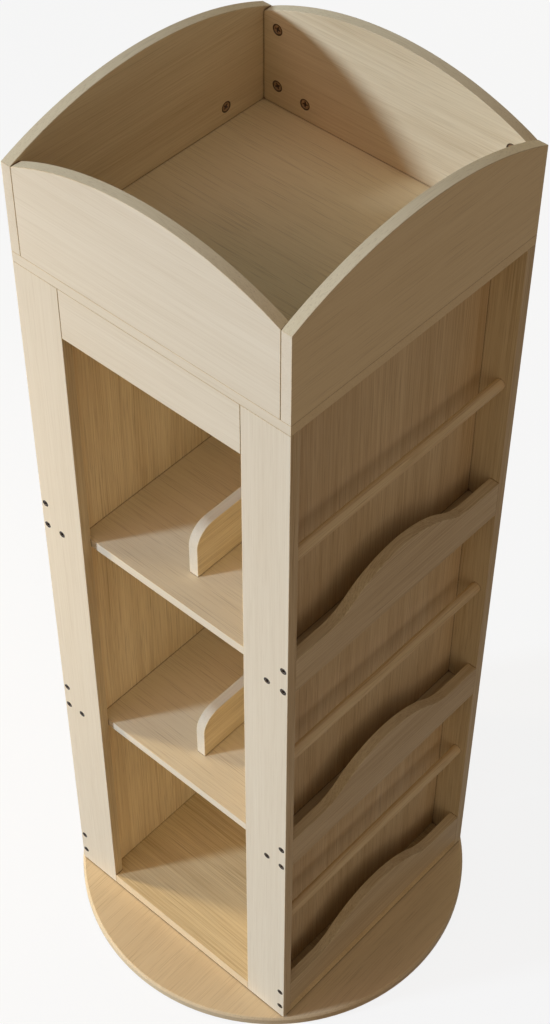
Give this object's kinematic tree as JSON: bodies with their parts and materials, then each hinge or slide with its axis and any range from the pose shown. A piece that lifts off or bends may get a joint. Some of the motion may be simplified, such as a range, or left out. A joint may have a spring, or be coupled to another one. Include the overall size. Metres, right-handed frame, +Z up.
{
  "type": "revolving bookcase",
  "caption": "Square tower of open shelves with magazine pockets on two sides and an arched tray on top, turning on a round base.",
  "frame": {"origin": "centre of the round base, on the floor", "axes": "+Z up along the turning axis; -Y out of an open shelf face; +X out of a pocket face"},
  "size_m": [0.4839, 0.484, 1.1425],
  "materials": {
    "oak_board": "light oak, straight grain, satin",
    "dowel_wood": "turned light oak, satin",
    "plate_steel": "zinc plated",
    "screw_steel": "blackened, satin",
    "cam_zinc": "die-cast zinc, dull",
    "nylon": "natural nylon",
    "pad_rubber": "matt"
  },
  "bodies": {
    "base": {"base_disc": "oak_board", "foot_pads": "pad_rubber", "pivot_plate": "plate_steel", "pivot_plate_screws": "screw_steel", "swivel_washer": "nylon"},
    "tower": {"swivel_plate": "plate_steel", "swivel_plate_screws": "screw_steel", "stile_screws": "screw_steel", "glides": "nylon", "floor_board": "oak_board", "side_wall_left": "oak_board", "side_wall_right": "oak_board", "stile_front_left": "oak_board", "stile_front_right": "oak_board", "stile_back_left": "oak_board", "stile_back_right": "oak_board", "lower_shelf": "oak_board", "upper_shelf": "oak_board", "lower_divider": "oak_board", "upper_divider": "oak_board", "front_rail": "oak_board", "back_rail": "oak_board", "top_board": "oak_board", "tray_front": "oak_board", "tray_back": "oak_board", "tray_left": "oak_board", "tray_right": "oak_board", "pocket_front_lower_left": "oak_board", "pocket_front_lower_right": "oak_board", "pocket_front_middle_left": "oak_board", "pocket_front_middle_right": "oak_board", "pocket_front_upper_left": "oak_board", "pocket_front_upper_right": "oak_board", "pocket_floor_middle_left": "oak_board", "pocket_floor_middle_right": "oak_board", "pocket_floor_upper_left": "oak_board", "pocket_floor_upper_right": "oak_board", "dowel_rail_lower_left": "dowel_wood", "dowel_rail_lower_right": "dowel_wood", "dowel_rail_middle_left": "dowel_wood", "dowel_rail_middle_right": "dowel_wood", "dowel_rail_upper_left": "dowel_wood", "dowel_rail_upper_right": "dowel_wood", "cam_locks": "cam_zinc"}
  },
  "joints": [
    {"name": "tower_turn", "type": "hinge", "parent": "base", "child": "tower", "pos_m": [0, 0, 0.0182], "axis": [0, 0, 1], "continuous": true}
  ]
}
